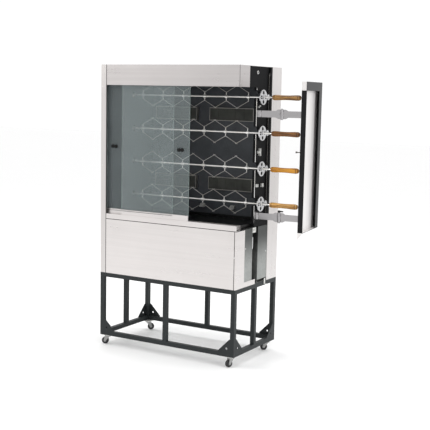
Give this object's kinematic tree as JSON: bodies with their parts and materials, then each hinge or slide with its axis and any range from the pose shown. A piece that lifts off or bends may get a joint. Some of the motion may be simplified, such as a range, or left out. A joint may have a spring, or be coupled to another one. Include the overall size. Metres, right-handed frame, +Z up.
{
  "type": "rotisserie oven",
  "caption": "Floor-standing rotisserie oven on a wheeled stand: forked spits with wooden handles, sliding front glass, ceramic burners, and a side door swung out on folding arms.",
  "frame": {"origin": "on the floor, under the middle of the cabinet", "axes": "+Z up; the glass front faces -Y; the spit handles and the side door are on the +X side"},
  "size_m": [1.4489, 0.6218, 1.987],
  "materials": {
    "stainless": "satin sheet",
    "stand_paint": "semi-gloss",
    "black_enamel": "speckled enamel",
    "galvanised": "galvanised",
    "polished": "polished",
    "glass": "clear, light grey-green",
    "wood": "varnished",
    "ceramic": "porous",
    "rubber": "matte"
  },
  "bodies": {
    "cabinet": {"stand_frame": "stand_paint", "corner_gussets": "stand_paint", "caster_plates": "galvanised", "base_front_panel": "stainless", "base_floor": "galvanised", "base_side_strips": "galvanised", "glass_sill": "stainless", "left_casing": "stainless", "hood": "stainless", "top_cover": "stainless", "rear_casing": "galvanised", "right_column": "stainless", "gear_plate": "black_enamel", "chamber_liner": "black_enamel", "drip_pan": "black_enamel", "spit_sockets": "polished", "burners_upper": "galvanised", "burners_lower": "galvanised", "burner_tiles": "ceramic", "gear_motor": "galvanised", "drive_chain": "galvanised", "arm_brackets": "stainless", "small_fittings": "galvanised"},
    "caster_front_left": {"caster_fork_fl": "polished"},
    "wheel_front_left": {"caster_wheel_fl": "rubber"},
    "caster_front_right": {"caster_fork_fr": "polished"},
    "wheel_front_right": {"caster_wheel_fr": "rubber"},
    "caster_back_left": {"caster_fork_bl": "polished"},
    "wheel_back_left": {"caster_wheel_bl": "rubber"},
    "caster_back_right": {"caster_fork_br": "polished"},
    "wheel_back_right": {"caster_wheel_br": "rubber"},
    "motor_sprocket": {"motor_sprocket": "polished"},
    "chain_idler": {"chain_idler": "polished"},
    "drive_roller_1": {"drive_roller_1": "polished"},
    "drive_roller_2": {"drive_roller_2": "polished"},
    "drive_roller_3": {"drive_roller_3": "polished"},
    "drive_roller_4": {"drive_roller_4": "polished"},
    "spit_1": {"spit_1": "polished", "drive_disc_1": "polished", "handle_1": "wood"},
    "spit_2": {"spit_2": "polished", "drive_disc_2": "polished", "handle_2": "wood"},
    "spit_3": {"spit_3": "polished", "drive_disc_3": "polished", "handle_3": "wood"},
    "spit_4": {"spit_4": "polished", "drive_disc_4": "polished", "handle_4": "wood"},
    "rear_pane": {"pane_rear": "glass", "pane_rear_trim": "stainless"},
    "front_pane": {"pane_front": "glass", "pane_front_trim": "stainless"},
    "upper_arm": {"inner_arm_upper": "stainless"},
    "lower_arm": {"inner_arm_lower": "stainless"},
    "side_door": {"outer_arms": "stainless", "door_tray": "stainless", "door_pull": "polished"},
    "lock_lever": {"lock_lever": "rubber"}
  },
  "joints": [
    {"name": "swivel_front_left", "type": "hinge", "parent": "cabinet", "child": "caster_front_left", "pos_m": [-0.51, -0.255, 0.06], "axis": [0, 0, 1], "continuous": true},
    {"name": "roll_front_left", "type": "hinge", "parent": "caster_front_left", "child": "wheel_front_left", "pos_m": [-0.52879, -0.26184, 0.025], "axis": [0.342, -0.9397, 0], "continuous": true},
    {"name": "swivel_front_right", "type": "hinge", "parent": "cabinet", "child": "caster_front_right", "pos_m": [0.51, -0.255, 0.06], "axis": [0, 0, 1], "continuous": true},
    {"name": "roll_front_right", "type": "hinge", "parent": "caster_front_right", "child": "wheel_front_right", "pos_m": [0.50316, -0.27379, 0.025], "axis": [0.9397, -0.342, 0], "continuous": true},
    {"name": "swivel_back_left", "type": "hinge", "parent": "cabinet", "child": "caster_back_left", "pos_m": [-0.51, 0.255, 0.06], "axis": [0, 0, 1], "continuous": true},
    {"name": "roll_back_left", "type": "hinge", "parent": "caster_back_left", "child": "wheel_back_left", "pos_m": [-0.49362, 0.26647, 0.025], "axis": [-0.5736, 0.8192, 0], "continuous": true},
    {"name": "swivel_back_right", "type": "hinge", "parent": "cabinet", "child": "caster_back_right", "pos_m": [0.51, 0.255, 0.06], "axis": [0, 0, 1], "continuous": true},
    {"name": "roll_back_right", "type": "hinge", "parent": "caster_back_right", "child": "wheel_back_right", "pos_m": [0.49362, 0.24353, 0.025], "axis": [0.5736, -0.8192, 0], "continuous": true},
    {"name": "motor_spin", "type": "hinge", "parent": "cabinet", "child": "motor_sprocket", "pos_m": [0.5545, 0.1223, 1.93], "axis": [1, 0, 0], "continuous": true},
    {"name": "idler_spin", "type": "hinge", "parent": "cabinet", "child": "chain_idler", "pos_m": [0.5545, 0.1223, 0.985], "axis": [1, 0, 0], "continuous": true},
    {"name": "roller_1_spin", "type": "hinge", "parent": "cabinet", "child": "drive_roller_1", "pos_m": [0.5545, 0.0843, 1.784], "axis": [1, 0, 0], "continuous": true},
    {"name": "roller_2_spin", "type": "hinge", "parent": "cabinet", "child": "drive_roller_2", "pos_m": [0.5545, 0.0843, 1.546], "axis": [1, 0, 0], "continuous": true},
    {"name": "roller_3_spin", "type": "hinge", "parent": "cabinet", "child": "drive_roller_3", "pos_m": [0.5545, 0.0843, 1.308], "axis": [1, 0, 0], "continuous": true},
    {"name": "roller_4_spin", "type": "hinge", "parent": "cabinet", "child": "drive_roller_4", "pos_m": [0.5545, 0.0843, 1.07], "axis": [1, 0, 0], "continuous": true},
    {"name": "spit_1_spin", "type": "hinge", "parent": "cabinet", "child": "spit_1", "pos_m": [0.5545, 0.015, 1.784], "axis": [1, 0, 0], "continuous": true},
    {"name": "spit_2_spin", "type": "hinge", "parent": "cabinet", "child": "spit_2", "pos_m": [0.5545, 0.015, 1.546], "axis": [1, 0, 0], "continuous": true},
    {"name": "spit_3_spin", "type": "hinge", "parent": "cabinet", "child": "spit_3", "pos_m": [0.5545, 0.015, 1.308], "axis": [1, 0, 0], "continuous": true},
    {"name": "spit_4_spin", "type": "hinge", "parent": "cabinet", "child": "spit_4", "pos_m": [0.5545, 0.015, 1.07], "axis": [1, 0, 0], "continuous": true},
    {"name": "rear_pane_slide", "type": "slide", "parent": "cabinet", "child": "rear_pane", "axis": [1, 0, 0], "range_m": [0, 0.5]},
    {"name": "front_pane_slide", "type": "slide", "parent": "cabinet", "child": "front_pane", "axis": [1, 0, 0], "range_m": [-0.12, 0.37]},
    {"name": "upper_arm_swing", "type": "hinge", "parent": "cabinet", "child": "upper_arm", "pos_m": [0.564, -0.044, 1.676], "axis": [0, 0, 1], "range_deg": [-60, 30]},
    {"name": "lower_arm_swing", "type": "hinge", "parent": "cabinet", "child": "lower_arm", "pos_m": [0.564, -0.044, 0.997], "axis": [0, 0, 1], "range_deg": [-60, 30]},
    {"name": "door_swing", "type": "hinge", "parent": "upper_arm", "child": "side_door", "pos_m": [0.72361, -0.03284, 1.676], "axis": [0, 0, 1], "range_deg": [-60, 20]},
    {"name": "lever_turn", "type": "hinge", "parent": "side_door", "child": "lock_lever", "pos_m": [0.72361, -0.03284, 1.037], "axis": [0, 0, 1], "range_deg": [-40, 60]}
  ],
  "couplings": [
    {"joint": "motor_spin", "follows": "spit_1_spin", "ratio": 3.82},
    {"joint": "idler_spin", "follows": "spit_1_spin", "ratio": 3.82},
    {"joint": "roller_1_spin", "follows": "spit_1_spin", "ratio": -2.6316},
    {"joint": "roller_2_spin", "follows": "spit_1_spin", "ratio": -2.6316},
    {"joint": "roller_3_spin", "follows": "spit_1_spin", "ratio": -2.6316},
    {"joint": "roller_4_spin", "follows": "spit_1_spin", "ratio": -2.6316},
    {"joint": "spit_2_spin", "follows": "spit_1_spin", "ratio": 1},
    {"joint": "spit_3_spin", "follows": "spit_1_spin", "ratio": 1},
    {"joint": "spit_4_spin", "follows": "spit_1_spin", "ratio": 1},
    {"joint": "lower_arm_swing", "follows": "upper_arm_swing", "ratio": 1}
  ]
}
